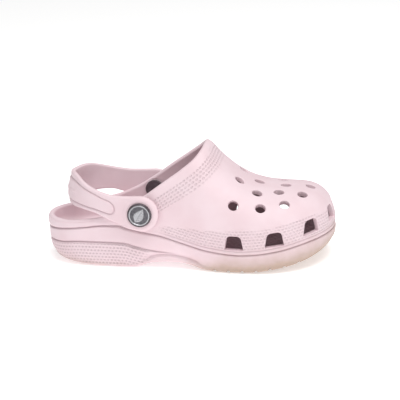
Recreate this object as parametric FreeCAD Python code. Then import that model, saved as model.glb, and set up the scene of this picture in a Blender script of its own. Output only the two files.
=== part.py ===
import FreeCAD, Part
import math
import os

# Garden clog for the right foot, moulded foam, with a swinging heel strap.
# +X is the toe, +Y the inner side of the foot, +Z up; millimetres.
# Origin: centre of the overall box in X and Y, on the ground.

# --- driving dimensions -------------------------------------------------------
foot_axis_y = -3.0          # centre line of the heel cup

# widest outline of the moulded body, seen from above, once round from the heel
outline_points = [
    (-131.3, -3), (-126, -20), (-109, -33), (-82, -38.5), (-52, -40.5), (-22, -42),
    (8, -46), (38, -51), (66, -52.5), (90, -48), (109, -38), (123, -22),
    (130.2, -3), (130.7, 16), (124.5, 34), (110, 46.5), (88, 52), (60, 52),
    (32, 47), (4, 41), (-24, 36.5), (-54, 34.5), (-84, 33), (-109, 27), (-126, 14)]

# heights along the length, as (x, z) stations
instep_line = [(-131, 58), (-95, 74), (-60, 93), (-34, 106), (-10, 112), (6, 112),
               (17.5, 108), (28, 96), (45, 80.5), (59, 72.5), (75, 68.5), (98, 67),
               (121, 66.5)]
shoulder_line = [(-131, 34), (-80, 38), (-40, 48), (0, 48), (40, 42), (90, 38), (131, 38)]
collar_line = [(-131, 42.5), (-110, 42.5), (-97, 44), (-75, 48), (-55, 56),
               (-34, 68.7), (-18, 80), (0, 92.5), (12, 102), (18, 109)]
sole_line = [(-131, 9), (-124, 5), (-113, 2.8), (-96, 1), (-76, 0), (-50, 0),
             (-30, 4.6), (-17, 5.8), (-5, 5.6), (7, 3.2), (14, 1.0), (22, 0.2), (32, 0),
             (60, 0.6), (82, 3), (105, 7), (121, 11.5), (131.5, 16)]
footbed_line = [(-125, 31), (-112, 27), (-92, 25.5), (-50, 26), (-20, 26),
                (15, 22), (60, 20), (95, 22.5), (125, 29)]

toe_round_start = 98.0      # x where the toe box begins to round down
toe_round_foot = 32.0       # height the toe rounding runs down to
vamp_wall = 4.6             # foam thickness of the upper
side_wall = 5.2             # foam thickness of the sides
section_fullness = 2.5      # how square the upper's cross-section is

vent_wide = 17.2            # side vents: width of the sill
vent_top_wide = 12.4
vent_high = 13.0
vent_corner = 4.2
# sill centre (x, z) and rise of the sill towards the toe of the vents on the outer
# side, then on the inner side
outer_vents = [(45.5, 22.8, 0.0), (81.5, 26.0, 0.1), (113.0, 33.5, 0.16), (128.6, 37.5, 0.0)]
inner_vents = [(127.5, 37.5, 0.0), (110.5, 33.5, 0.16), (79.0, 26.0, 0.1), (43.0, 22.8, 0.0)]
front_vent_y = (-5.0, 22.5)   # the two vents in the toe face sit at these y

hole_r = 4.55               # round holes in the upper
outer_holes = [(45.6, -45.5), (69.0, -42.0), (89.4, -34.0), (48.4, -16.7),
               (64.6, -25.6), (83.0, -17.5), (103.9, -17.2)]
middle_holes = [(64.0, 0.5), (87.5, 1.0), (109.5, 4.0)]

tread_pitch = 12.4          # cross grooves at both edges of the forefoot tread
tread_groove = 2.2
tread_deep = 3.0
tread_first = 27.0
tread_count = 7

rivet_x = -38.0             # strap rivets: one axis across both of them
rivet_z = 54.0
rivet_stem_r = 4.0
rivet_run = 0.06            # running clearance between stem and foam
rivet_head_r = 10.9
rivet_head_deep = 2.9
rivet_disc_r = 9.4
rivet_disc_deep = 1.5
rivet_cap_r = 8.4
rivet_cap_deep = 2.4
rivet_seat_y = 38.9         # flat on the body under each strap eye, from the axis

strap_in_y = 40.2           # inner face of the strap at its eyes
strap_thick = 4.3
strap_eye_r = 16.5
# outer half-width of the strap against x, from the eyes to the back of the heel
strap_plan = [(-38, 44.5), (-58, 43.8), (-74, 40.6), (-88, 34.2), (-99, 25.5),
              (-106.5, 15), (-110.5, 6)]
strap_back_x = -111.6
strap_top = [(-38, 70.5), (-49, 70.2), (-60, 70.4), (-72, 72.4),
             (-83, 75.6), (-92, 79), (-101, 82.6)]
strap_crown = [(-106, 83.0), (-111.5, 81.6), (-114, 77)]
strap_foot = [(-113.6, 66), (-113.8, 58), (-112.8, 53.8), (-108, 53)]
strap_low = [(-95, 54), (-81, 53), (-72, 50), (-60, 45.4),
             (-49, 40.2), (-38, 37.5)]

strap_out_y = strap_in_y + strap_thick
head_y = strap_out_y + 0.3
inner_wall_y = rivet_seat_y - side_wall - 1.2
cap_y = inner_wall_y - 0.3 - rivet_cap_deep

ray_count = 50              # points round each section of the loft
pole = (-25.0, foot_axis_y)


# --- small geometry helpers ---------------------------------------------------
def along(stations, x):
    """Smooth height at x through the stations, with no overshoot between them."""
    xs = [float(s[0]) for s in stations]
    ys = [float(s[1]) for s in stations]
    x = min(max(x, xs[0]), xs[-1])
    step = [xs[i + 1] - xs[i] for i in range(len(xs) - 1)]
    rise = [(ys[i + 1] - ys[i]) / step[i] for i in range(len(step))]
    slope = [rise[0]] + [0.0] * (len(xs) - 2) + [rise[-1]]
    for i in range(1, len(xs) - 1):
        if rise[i - 1] * rise[i] > 0:
            a = 2 * step[i] + step[i - 1]
            b = step[i] + 2 * step[i - 1]
            slope[i] = (a + b) / (a / rise[i - 1] + b / rise[i])
    k = 0
    while k < len(step) - 1 and x > xs[k + 1]:
        k += 1
    t = (x - xs[k]) / step[k]
    return ((1 + 2 * t) * (1 - t) ** 2 * ys[k] + t * (1 - t) ** 2 * step[k] * slope[k]
            + t * t * (3 - 2 * t) * ys[k + 1] + t * t * (t - 1) * step[k] * slope[k + 1])


def closed_curve(points):
    """Smooth closed curve through the points, evenly parameterised."""
    curve = Part.BSplineCurve()
    knots = [float(i) for i in range(len(points) + 1)]
    curve.interpolate(Points=points, PeriodicFlag=True, Parameters=knots)
    return curve


def closed_wire(points):
    return Part.Wire([closed_curve(points).toShape()])


def side_face(profile, half_deep=90.0):
    """A face in the XZ plane from a closed list of (x, z), set at -half_deep in Y."""
    points = [FreeCAD.Vector(x, -half_deep, z) for x, z in profile]
    return Part.Face(Part.makePolygon(points + [points[0]]))


def stations_of(line, x0, x1, count):
    return [(x0 + (x1 - x0) * i / count, along(line, x0 + (x1 - x0) * i / count))
            for i in range(count + 1)]


outline = closed_curve([FreeCAD.Vector(x, y, 0) for x, y in outline_points])
outline_span = float(len(outline_points))


def outline_at(fraction, inset=0.0):
    """Point on the outline moved inwards by the inset."""
    t = (fraction % 1.0) * outline_span
    point = outline.value(t)
    tangent = outline.tangent(t)[0]
    inward = FreeCAD.Vector(-tangent.y, tangent.x, 0)
    return point + inward * inset


def outline_sides(inset):
    """Samples of the outline as two lists, outer side and inner side, by rising x."""
    ring = [outline_at(i / 800.0, inset) for i in range(800)]
    first = min(range(800), key=lambda i: ring[i].x)
    ring = ring[first:] + ring[:first]
    toe = max(range(800), key=lambda i: ring[i].x)
    outer = [(p.x, p.y) for p in ring[:toe + 1]]
    inner = [(p.x, p.y) for p in ring[toe:] + ring[:1]][::-1]
    return outer, inner


def between(samples, x):
    low, high = 0, len(samples) - 1
    x = min(max(x, samples[0][0]), samples[-1][0])
    while high - low > 1:
        middle = (low + high) // 2
        if samples[middle][0] <= x:
            low = middle
        else:
            high = middle
    (x0, y0), (x1, y1) = samples[low], samples[high]
    return y0 + (y1 - y0) * (x - x0) / max(x1 - x0, 1e-9)


class Upper:
    """Height of the upper over the plan, for the outside or the inside of the foam."""

    def __init__(self, inset, drop):
        self.drop = drop
        self.outer, self.inner = outline_sides(inset)
        self.toe = self.outer[-1][0]

    def crest(self, x):
        base = along(instep_line, x) - self.drop
        foot = toe_round_foot
        run = min(max((x - toe_round_start) / (self.toe - toe_round_start), 0.0), 1.0)
        return foot + (base - foot) * math.sqrt(max(1.0 - run ** 2.5, 0.0))

    def height(self, x, y):
        y0 = between(self.outer, x)
        y1 = between(self.inner, x)
        half = max((y1 - y0) / 2, 1e-6)
        v = min(abs((y - (y0 + y1) / 2) / half), 1.0)
        shoulder = along(shoulder_line, x)
        full = (1.0 - v ** section_fullness) ** (1.0 / 2.1)
        return shoulder + (self.crest(x) - shoulder) * full


def ring(place):
    return [place(i / float(ray_count)) for i in range(ray_count)]


def wall_ring(inset, height):
    """Section that follows the outline: moved in by inset, at height(x)."""
    def place(f):
        p = outline_at(f, inset)
        return FreeCAD.Vector(p.x, p.y, height(outline_at(f).x))
    return ring(place)


def plan_ring(inset, reach, height):
    """Section pulled in towards the pole: reach 1 is the outline, 0 the pole."""
    def place(f):
        p = outline_at(f, inset)
        x = pole[0] + (p.x - pole[0]) * reach
        y = pole[1] + (p.y - pole[1]) * reach
        return FreeCAD.Vector(x, y, height(x, y))
    return ring(place)


def loft(sections):
    """Solid skinned smoothly through closed sections, with a flat cap at each end."""
    curves = [closed_curve(s) for s in sections]
    knot = [0.0]
    for a, b in zip(sections, sections[1:]):
        gap = sum(p.distanceToPoint(q) for p, q in zip(a, b)) / len(a)
        knot.append(knot[-1] + gap)
    columns = []
    for i in range(len(curves[0].getPoles())):
        column = Part.BSplineCurve()
        column.interpolate(Points=[c.getPole(i + 1) for c in curves], Parameters=knot)
        columns.append(column)
    skin = Part.BSplineSurface()
    skin.buildFromPolesMultsKnots(
        [c.getPoles() for c in columns],
        curves[0].getMultiplicities(), columns[0].getMultiplicities(),
        curves[0].getKnots(), columns[0].getKnots(), True, False, 3, 3)
    caps = [Part.Face(Part.Wire([c.toShape()])) for c in (curves[0], curves[-1])]
    shell = Part.makeShell([skin.toShape()] + caps)
    shell.sewShape()
    solid = Part.Solid(shell.Shells[0] if shell.Shells else shell)
    if solid.Volume < 0:
        solid.reverse()
    return solid


def sole(x):
    return along(sole_line, x)


def side_height(x, share):
    """Height up the side wall at x: share 0 is the sole, 1 the shoulder of the upper."""
    return sole(x) + (along(shoulder_line, x) - sole(x)) * share


# --- clog_body ----------------------------------------------------------------
# One moulding: sole, side walls, heel cup and vented upper.
def outer_skin():
    upper = Upper(0.0, 0.0)
    sections = [
        plan_ring(7.5, 1.0, lambda x, y: -12.0),
        wall_ring(7.5, lambda x: sole(x)),
        wall_ring(3.0, lambda x: side_height(x, 0.1)),
        wall_ring(0.9, lambda x: side_height(x, 0.26)),
        wall_ring(0.0, lambda x: side_height(x, 0.58)),
        wall_ring(0.0, lambda x: along(shoulder_line, x))]
    for reach in (0.99, 0.965, 0.92, 0.85, 0.74, 0.6, 0.44, 0.28, 0.16):
        sections.append(plan_ring(0.0, reach, upper.height))
    sections.append(plan_ring(0.0, 0.07, lambda x, y: 109.5))
    return loft(sections)


def foot_space():
    upper = Upper(side_wall, vamp_wall)

    def footbed(x, y):
        return along(footbed_line, x)

    sections = [
        plan_ring(side_wall, 0.08, lambda x, y: along(footbed_line, pole[0])),
        plan_ring(side_wall, 0.35, footbed),
        plan_ring(side_wall, 0.65, footbed),
        plan_ring(side_wall, 0.88, footbed),
        plan_ring(side_wall + 1.2, 0.98, lambda x, y: footbed(x, y) + 1.2),
        wall_ring(side_wall + 0.4, lambda x: along(footbed_line, x) + 4.0),
        wall_ring(side_wall, lambda x: max(along(shoulder_line, x),
                                           along(footbed_line, x) + 9.0))]
    for reach in (0.985, 0.95, 0.9, 0.8, 0.66, 0.5, 0.34, 0.2):
        sections.append(plan_ring(side_wall, reach, upper.height))
    sections.append(plan_ring(side_wall, 0.07, lambda x, y: 105.0))
    return loft(sections)


def below_sole():
    """Everything under the walking surface: heel bevel, arch and toe spring."""
    line = stations_of(sole_line, -131.0, 131.5, 60)
    profile = [(-150, -30), (-150, 9)] + line + [(150, 16), (150, -30)]
    return side_face(profile).extrude(FreeCAD.Vector(0, 180, 0))


def above_collar():
    """Everything over the foot opening, cut along the collar line."""
    line = stations_of(collar_line, -131.0, 18.0, 48)
    profile = [(-150, 42.5)] + line + [(18, 140), (-150, 140)]
    return side_face(profile).extrude(FreeCAD.Vector(0, 180, 0))


def vent(x, y, sill, rise, facing):
    """Trapezoid port through the side wall, rounded at its two top corners. Its sill
    and top climb by rise towards the toe."""
    flat = FreeCAD.Vector(facing.x, facing.y, 0).normalize()
    across = FreeCAD.Vector(-flat.y, flat.x, 0)
    start = FreeCAD.Vector(x, y, sill) + flat * 12.0
    corners = [(-vent_wide / 2, 0), (vent_wide / 2, 0),
               (vent_top_wide / 2, vent_high), (-vent_top_wide / 2, vent_high)]
    points = [start + across * a + FreeCAD.Vector(0, 0, b + rise * across.x * a)
              for a, b in corners]
    block = Part.Face(Part.makePolygon(points + [points[0]])).extrude(flat * -26.0)
    tops = [e for e in block.Edges
            if e.BoundBox.ZMin > sill + vent_high / 2 and e.Length > 25.9]
    return block.makeFillet(vent_corner, tops)


def outline_facing(x, y_sign):
    """Outline point at x on one side, and the way the wall faces there."""
    best = None
    for i in range(1600):
        p = outline_at(i / 1600.0)
        if (p.y - 1.5) * y_sign > 0 and (best is None or abs(p.x - x) < best[0]):
            best = (abs(p.x - x), i / 1600.0)
    f = best[1]
    return outline_at(f), outline_at(f) - outline_at(f, 1.0)


def front_facing(y):
    best = None
    for i in range(1600):
        p = outline_at(i / 1600.0)
        if p.x > 100 and (best is None or abs(p.y - y) < best[0]):
            best = (abs(p.y - y), i / 1600.0)
    f = best[1]
    return outline_at(f), outline_at(f) - outline_at(f, 1.0)


def all_vents():
    ports = []
    for side, vents, front_y in ((-1, outer_vents, front_vent_y[0]),
                                 (1, inner_vents, front_vent_y[1])):
        for x, sill, rise in vents:
            if x > 120:
                point, facing = front_facing(front_y)
            else:
                point, facing = outline_facing(x, side)
            ports.append(vent(point.x, point.y, sill, rise, facing))
    return ports


def hole(x, y, upper):
    """Round hole through the upper, square to its surface."""
    d = 0.8
    dzdx = (upper.height(x + d, y) - upper.height(x - d, y)) / (2 * d)
    dzdy = (upper.height(x, y + d) - upper.height(x, y - d)) / (2 * d)
    out = FreeCAD.Vector(-dzdx, -dzdy, 1).normalize()
    start = FreeCAD.Vector(x, y, upper.height(x, y)) + out * 8.0
    return Part.makeCylinder(hole_r, 19.0, start, out * -1)


def all_holes():
    upper = Upper(0.0, 0.0)
    places = list(middle_holes)
    for x, y in outer_holes:
        middle = (between(upper.outer, x) + between(upper.inner, x)) / 2
        places.append((x, y))
        places.append((x, 2 * middle - y))
    return [hole(x, y, upper) for x, y in places]


def tread():
    """Cross grooves at the two edges of the forefoot."""
    upper = Upper(0.0, 0.0)
    grooves = []
    for i in range(tread_count):
        x = tread_first + i * tread_pitch
        low = sole(x) - 6.0
        for side, samples in ((-1, upper.outer), (1, upper.inner)):
            edge = between(samples, x)
            y0 = edge - 4.0 if side < 0 else edge - 16.0
            grooves.append(Part.makeBox(tread_groove, 20.0, 6.0 + tread_deep,
                                        FreeCAD.Vector(x - tread_groove / 2, y0, low)))
    return grooves


def rivet_seats():
    """Flat lands for the strap eye outside and the cap inside, and the stem hole."""
    cuts = []
    for side in (-1, 1):
        face = FreeCAD.Vector(rivet_x, foot_axis_y + side * rivet_seat_y, rivet_z)
        away = FreeCAD.Vector(0, side, 0)
        cuts.append(Part.makeCylinder(strap_eye_r + 1.5, 10.0, face, away))
        inside = FreeCAD.Vector(rivet_x, foot_axis_y + side * 20.0, rivet_z)
        cuts.append(Part.makeCylinder(rivet_stem_r + rivet_run, 30.0, inside, away))
        cuts.append(Part.makeCylinder(rivet_cap_r + 1.6, inner_wall_y - 20.0, inside, away))
    return cuts


def clog_body():
    body = outer_skin().cut(below_sole())
    body = body.cut(foot_space())
    body = body.cut(above_collar())
    body = body.cut(all_vents())
    body = body.cut(all_holes())
    body = body.cut(tread())
    body = body.cut(rivet_seats())
    return max(body.Solids, key=lambda s: s.Volume)


# --- heel_strap ---------------------------------------------------------------
# A foam band from eye to eye round the back of the heel.
def strap_loop(inset):
    """Plan of the strap as a face: round the heel, and straight across in front."""
    half = strap_plan + [(strap_back_x, 0.0)]
    near = [FreeCAD.Vector(x, foot_axis_y - h, 0) for x, h in half]
    far = [FreeCAD.Vector(x, foot_axis_y + h, 0) for x, h in strap_plan[::-1]]
    ends = {"InitialTangent": FreeCAD.Vector(-1, 0, 0), "FinalTangent": FreeCAD.Vector(1, 0, 0)}
    curve = Part.BSplineCurve()
    curve.interpolate(Points=near + far, **ends)
    if inset > 0:
        points = []
        count = 24
        for i in range(count + 1):
            t = curve.FirstParameter + (curve.LastParameter - curve.FirstParameter) * i / count
            along_it = curve.tangent(t)[0]
            points.append(curve.value(t) + FreeCAD.Vector(-along_it.y, along_it.x, 0) * -inset)
        curve = Part.BSplineCurve()
        curve.interpolate(Points=points, **ends)
    reach = rivet_x + strap_eye_r + 3.0
    a = curve.value(curve.FirstParameter)
    b = curve.value(curve.LastParameter)
    a2 = FreeCAD.Vector(reach, a.y, 0)
    b2 = FreeCAD.Vector(reach, b.y, 0)
    edges = [curve.toShape(), Part.makeLine(b, b2), Part.makeLine(b2, a2),
             Part.makeLine(a2, a)]
    return Part.Face(Part.Wire(edges))


def heel_strap():
    up = FreeCAD.Vector(0, 0, 90)
    band = strap_loop(0.0).extrude(up)
    core = strap_loop(strap_thick).extrude(up)
    reach = rivet_x + strap_eye_r
    gap = Part.makeBox(60, 2 * strap_in_y, 90, FreeCAD.Vector(reach - 30, foot_axis_y - strap_in_y, 0))
    band = band.cut(core).cut(gap)
    top = [FreeCAD.Vector(x, -90, z) for x, z in strap_top]
    crown = [FreeCAD.Vector(x, -90, z) for x, z in strap_crown]
    foot = [FreeCAD.Vector(x, -90, z) for x, z in strap_foot]
    low = [FreeCAD.Vector(x, -90, z) for x, z in strap_low]
    points = top + crown + foot + low
    curve = Part.BSplineCurve()
    curve.interpolate(Points=points)
    side = Part.Face(Part.Wire([curve.toShape(), Part.makeLine(points[-1], points[0])]))
    side = side.extrude(FreeCAD.Vector(0, 180, 0))
    start = FreeCAD.Vector(rivet_x, -90, rivet_z)
    eyes = Part.makeCylinder(strap_eye_r, 180, start, FreeCAD.Vector(0, 1, 0))
    strap = band.common(side.fuse(eyes))
    bore = Part.makeCylinder(rivet_stem_r + rivet_run, 180, start, FreeCAD.Vector(0, 1, 0))
    strap = strap.cut(bore)
    return max(strap.Solids, key=lambda s: s.Volume)


# --- rivets -------------------------------------------------------------------
# Each rivet: a dark moulded head with its stem, a silver disc let into the head,
# and a dark cap snapped on the stem inside the shoe.
def disc(side, radius, start, deep, edge=0.0):
    """Flat round part on the rivet axis, from start outwards by deep."""
    face = FreeCAD.Vector(rivet_x, foot_axis_y + side * start, rivet_z)
    body = Part.makeCylinder(radius, deep, face, FreeCAD.Vector(0, side, 0))
    if edge > 0:
        far = foot_axis_y + side * (start + deep)
        rims = [e for e in body.Edges if abs(e.BoundBox.Center.y - far) < 0.01 and e.Closed]
        body = body.makeFillet(edge, rims)
    return body




def rivet_head(side):
    head = disc(side, rivet_head_r, head_y, rivet_head_deep, 0.9)
    pocket = disc(side, rivet_disc_r, head_y + rivet_head_deep - 1.2, 3.0)
    stem = disc(side, rivet_stem_r, cap_y + 1.0, head_y - cap_y)
    return head.cut(pocket).fuse(stem).removeSplitter()


def rivet_disc(side):
    start = head_y + rivet_head_deep - 1.2
    body = disc(side, rivet_disc_r, start, rivet_disc_deep, 0.4)
    dish = disc(side, rivet_disc_r - 1.2, start + rivet_disc_deep - 0.35, 1.0)
    return body.cut(dish)


def rivet_cap(side):
    cap = disc(-side, rivet_cap_r, -(cap_y + rivet_cap_deep), rivet_cap_deep, 0.8)
    return cap.cut(disc(side, rivet_stem_r, cap_y + 1.0, 10.0))


# --- write the sub-parts ------------------------------------------------------
os.makedirs("parts", exist_ok=True)
nodes = {
    "clog_body": clog_body(),
    "heel_strap": heel_strap()}
for side_name, side in (("outer", -1), ("inner", 1)):
    nodes[side_name + "_rivet_head"] = rivet_head(side)
    nodes[side_name + "_rivet_disc"] = rivet_disc(side)
    nodes[side_name + "_rivet_cap"] = rivet_cap(side)
for name, shape in nodes.items():
    shape.exportStep("parts/" + name + ".step")
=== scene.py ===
import bmesh
import bpy
import numpy as np
from mathutils import Matrix, Vector


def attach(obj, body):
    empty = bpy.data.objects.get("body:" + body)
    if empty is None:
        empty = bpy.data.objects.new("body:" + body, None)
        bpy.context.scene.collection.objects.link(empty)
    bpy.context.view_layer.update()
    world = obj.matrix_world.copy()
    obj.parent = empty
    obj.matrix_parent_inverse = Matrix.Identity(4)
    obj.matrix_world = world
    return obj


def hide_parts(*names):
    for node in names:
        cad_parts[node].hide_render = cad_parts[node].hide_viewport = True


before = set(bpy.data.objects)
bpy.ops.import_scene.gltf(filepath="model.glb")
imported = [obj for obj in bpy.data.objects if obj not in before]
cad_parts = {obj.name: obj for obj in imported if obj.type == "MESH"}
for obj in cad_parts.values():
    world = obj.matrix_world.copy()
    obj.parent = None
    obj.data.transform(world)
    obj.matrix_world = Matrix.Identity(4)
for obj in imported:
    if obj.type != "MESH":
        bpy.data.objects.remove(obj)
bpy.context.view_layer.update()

# --- clog body ------------------------------------------------------------------
# One moulding of closed-cell foam, pale pink right through: sole, arch, heel cup, side
# walls and vented upper come out of the mould together, with a thin satin skin.
# Everything is worked out in millimetres here and written to the mesh in metres.
foot_axis = -3.0
outline = np.array([
    (-131.3, -3), (-126, -20), (-109, -33), (-82, -38.5), (-52, -40.5), (-22, -42),
    (8, -46), (38, -51), (66, -52.5), (90, -48), (109, -38), (123, -22),
    (130.2, -3), (130.7, 16), (124.5, 34), (110, 46.5), (88, 52), (60, 52),
    (32, 47), (4, 41), (-24, 36.5), (-54, 34.5), (-84, 33), (-109, 27), (-126, 14)])
instep_line = [(-131, 58), (-95, 74), (-60, 93), (-34, 106), (-10, 112), (6, 112),
               (17.5, 108), (28, 96), (45, 80.5), (59, 72.5), (75, 68.5), (98, 67),
               (121, 66.5)]
shoulder_line = [(-131, 34), (-80, 38), (-40, 48), (0, 48), (40, 42), (90, 38), (131, 38)]
collar_line = [(-131, 42.5), (-110, 42.5), (-97, 44), (-75, 48), (-55, 56),
               (-34, 68.7), (-18, 80), (0, 92.5), (12, 102), (18, 109)]
sole_line = [(-131, 9), (-124, 5), (-113, 2.8), (-96, 1), (-76, 0), (-50, 0),
             (-30, 4.6), (-17, 5.8), (-5, 5.6), (7, 3.2), (14, 1.0), (22, 0.2), (32, 0),
             (60, 0.6), (82, 3), (105, 7), (121, 11.5), (131.5, 16)]
footbed_line = [(-125, 31), (-112, 27), (-92, 25.5), (-50, 26), (-20, 26),
                (15, 22), (60, 20), (95, 22.5), (125, 29)]
side_wall, vamp_wall = 5.2, 4.6
tread_rim, tread_deep = 14.0, 2.4          # rim of the sole, and the recess inside it
bottom_in, bottom_round, bottom_share = 3.0, 4.5, 0.1    # rounding at the foot of the wall
collar_rise, collar_front = 2.2, 18.0      # the collar's round top, and its foremost point
toe_start, toe_low = 98.0, 32.0            # where the crest starts to come down, and to what
rivet_x, rivet_z, stem_r = -38.0, 54.0, 4.0
rays = 400
pole = np.array([-25.0, foot_axis])        # every ring of the moulding runs round this point


def along(x, stations):
    """Smooth curve through (x, value) stations: cubic pieces whose slopes are the
    harmonic mean of the chords either side, so it never overshoots."""
    sx, sy = np.array(stations, float).T
    step = np.diff(sx)
    rise = np.diff(sy) / step
    left, right = rise[:-1], rise[1:]
    a, b = 2 * step[1:] + step[:-1], step[1:] + 2 * step[:-1]
    same = left * right > 0
    inner = np.where(same, (a + b) / (a / np.where(same, left, 1) + b / np.where(same, right, 1)), 0)
    slope = np.concatenate([rise[:1], inner, rise[-1:]])
    x = np.clip(x, sx[0], sx[-1])
    k = np.clip(np.searchsorted(sx, x, side="right") - 1, 0, len(step) - 1)
    t = (x - sx[k]) / step[k]
    return ((1 + 2 * t) * (1 - t) ** 2 * sy[k] + t * (1 - t) ** 2 * step[k] * slope[k]
            + t * t * (3 - 2 * t) * sy[k + 1] + t * t * (t - 1) * step[k] * slope[k + 1])


def closed_curve(points, count):
    """Evenly parameterised periodic cubic B-spline through the points, sampled count
    times, with its unit normals pointing inwards."""
    n = len(points)
    mix = (4 * np.eye(n) + np.roll(np.eye(n), 1, 1) + np.roll(np.eye(n), -1, 1)) / 6
    hull = np.linalg.solve(mix, points)
    t = np.arange(count) * n / count
    i = t.astype(int)
    u = (t - i)[:, None]
    p = [hull[(i + k) % n] for k in (-1, 0, 1, 2)]
    place = ((1 - u) ** 3 * p[0] + (3 * u ** 3 - 6 * u ** 2 + 4) * p[1]
             + (-3 * u ** 3 + 3 * u ** 2 + 3 * u + 1) * p[2] + u ** 3 * p[3]) / 6
    run = (-(1 - u) ** 2 * p[0] + (3 * u ** 2 - 4 * u) * p[1]
           + (-3 * u ** 2 + 2 * u + 1) * p[2] + u ** 2 * p[3]) / 2
    run /= np.linalg.norm(run, axis=1)[:, None]
    return place, np.stack([-run[:, 1], run[:, 0]], 1)


edge, inward = closed_curve(outline, rays)
fine, fine_in = closed_curve(outline, 1600)
arc = np.concatenate([[0], np.cumsum(np.linalg.norm(np.diff(edge, axis=0), axis=1))])


def sides(inset):
    """The outline moved in by inset, as outer and inner side, each by rising x."""
    ring = fine + fine_in * inset
    ring = np.roll(ring, -np.argmin(ring[:, 0]), axis=0)
    toe = np.argmax(ring[:, 0])
    return ring[:toe + 1], np.vstack([ring[toe:], ring[:1]])[::-1]


def upper_height(x, y, inset, drop):
    """Height of the upper: shoulder + (crest - shoulder) (1 - |v|^2.5)^(1/2.1), v running
    from -1 to 1 across the shoe. Over the toe the crest comes down to toe_low: what is
    above that is multiplied by sqrt(1 - run^2.5), run being 0 at toe_start, 1 at the tip."""
    outer, inner = sides(inset)
    toe = outer[-1, 0]
    low, high = np.interp(x, *outer.T), np.interp(x, *inner.T)
    base = along(x, instep_line) - drop
    run = np.clip((x - toe_start) / (toe - toe_start), 0, 1)
    crest = toe_low + (base - toe_low) * np.sqrt(np.clip(1 - run ** 2.5, 0, 1))
    v = np.clip(np.abs(y - (low + high) / 2) / np.maximum((high - low) / 2, 1e-6), 0, 1)
    shoulder = along(x, shoulder_line)
    return shoulder + (crest - shoulder) * (1 - v ** 2.5) ** (1 / 2.1)


def soft_step(x, start, end):
    """0 before start, 1 after end, and 3t^2 - 2t^3 between them."""
    t = np.clip((x - start) / (end - start), 0, 1)
    return t * t * (3 - 2 * t)


def bell(distance, width):
    """1 on a line, fading either side of it as exp(-(distance / width)^2)."""
    return np.exp(-(distance / width) ** 2)


def collar_reach(inset, drop):
    """For each ray, how far out from the pole (0) to the outline (1) the upper comes
    up to collar_rise under the collar line, found by halving."""
    low, high = np.full(rays, 0.04), np.full(rays, 1.0)
    ring = edge + inward * inset
    for _ in range(40):
        mid = (low + high) / 2
        p = pole + (ring - pole) * mid[:, None]
        z = upper_height(p[:, 0], p[:, 1], inset, drop)
        above = (z > along(p[:, 0], collar_line) - collar_rise) & (p[:, 0] < collar_front)
        low, high = np.where(above, mid, low), np.where(above, high, mid)
    return high


def upper_rows(inset, drop, shares):
    """Rings over the upper: share 0 is the outline moved in by inset, 1 the collar."""
    ring, end = edge + inward * inset, collar_reach(inset, drop)
    rows = []
    for share in shares:
        p = pole + (ring - pole) * (1 + (end - 1) * share)[:, None]
        rows.append(np.column_stack([p, upper_height(p[:, 0], p[:, 1], inset, drop)]))
    return rows


def outer_profile():
    """Outside of the moulding, ring by ring: out from the middle of the sole over a
    raised tread rim, round the bottom edge by a quarter ellipse, up the wall in equal
    shares of its height, and over the upper."""
    low, top = along(edge[:, 0], sole_line), along(edge[:, 0], shoulder_line)
    rim_section = [(13.6, tread_deep), (13.0, 2.2), (12.7, 1.2), (12.3, 0.2), (11.8, 0.0), (9.5, 0.0)]
    wall_section = [(bottom_share, bottom_in), (0.26, 0.9), (0.58, 0.0), (1.0, 0.0)]
    rows = []
    for share in np.linspace(0, 1, 13)[:-1]:
        ring = pole + (edge + inward * tread_rim - pole) * share
        rows.append(np.column_stack([ring, along(ring[:, 0], sole_line) + tread_deep]))
    for inset, lift in rim_section:
        ring = edge + inward * inset
        rows.append(np.column_stack([ring, along(ring[:, 0], sole_line) + lift]))
    for turn in np.linspace(0, 1, 9)[:-1]:
        inset = bottom_in + bottom_round * (1 - np.sin(turn * np.pi / 2))
        share = bottom_share * (1 - np.cos(turn * np.pi / 2))
        rows.append(np.column_stack([edge + inward * inset, low + (top - low) * share]))
    for share in np.linspace(bottom_share, 1.0, 56):
        inset = along(share, wall_section)
        rows.append(np.column_stack([edge + inward * inset, low + (top - low) * share]))
    return np.array(rows + upper_rows(0.0, 0.0, (np.arange(1, 57) / 56) ** 1.3))


def inner_profile():
    """Inside of the moulding: from the collar under the upper, down the wall, round a
    quarter ellipse at its foot and over the footbed to the pole."""
    wall_least, wall_taper, foot_wide, foot_high = 9.0, 0.5, 4.5, 4.0
    bed = along(edge[:, 0], footbed_line)
    top = np.maximum(along(edge[:, 0], shoulder_line), bed + wall_least)
    rows = upper_rows(side_wall, vamp_wall, (1 - np.arange(0, 34) / 34) ** 1.3)
    for share in np.linspace(0, 1, 12):
        ring = edge + inward * (side_wall + wall_taper * share)
        rows.append(np.column_stack([ring, top + (bed + foot_high - top) * share]))
    for turn in np.linspace(0, 1, 7)[1:]:
        ring = edge + inward * (side_wall + wall_taper + foot_wide * (1 - np.cos(turn * np.pi / 2)))
        lift = foot_high * (1 - np.sin(turn * np.pi / 2))
        rows.append(np.column_stack([ring, along(ring[:, 0], footbed_line) + lift]))
    for share in np.linspace(1, 0, 14)[1:]:
        ring = pole + (edge + inward * (side_wall + wall_taper + foot_wide) - pole) * share
        rows.append(np.column_stack([ring, along(ring[:, 0], footbed_line)]))
    return np.array(rows)


def collar_rim(a, b):
    """Half ellipse from ring a to ring b: their mean, plus half their gap times the
    cosine, plus collar_rise square to the rim times the sine."""
    mid, half = (a + b) / 2, (a - b) / 2
    rise = np.cross(half, np.roll(a, -1, 0) - np.roll(a, 1, 0))
    rise /= np.linalg.norm(rise, axis=1)[:, None]
    rise *= np.sign(rise[:, 2])[:, None] * collar_rise
    return np.array([mid + half * np.cos(t) + rise * np.sin(t) for t in np.linspace(0, np.pi, 10)])


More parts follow.
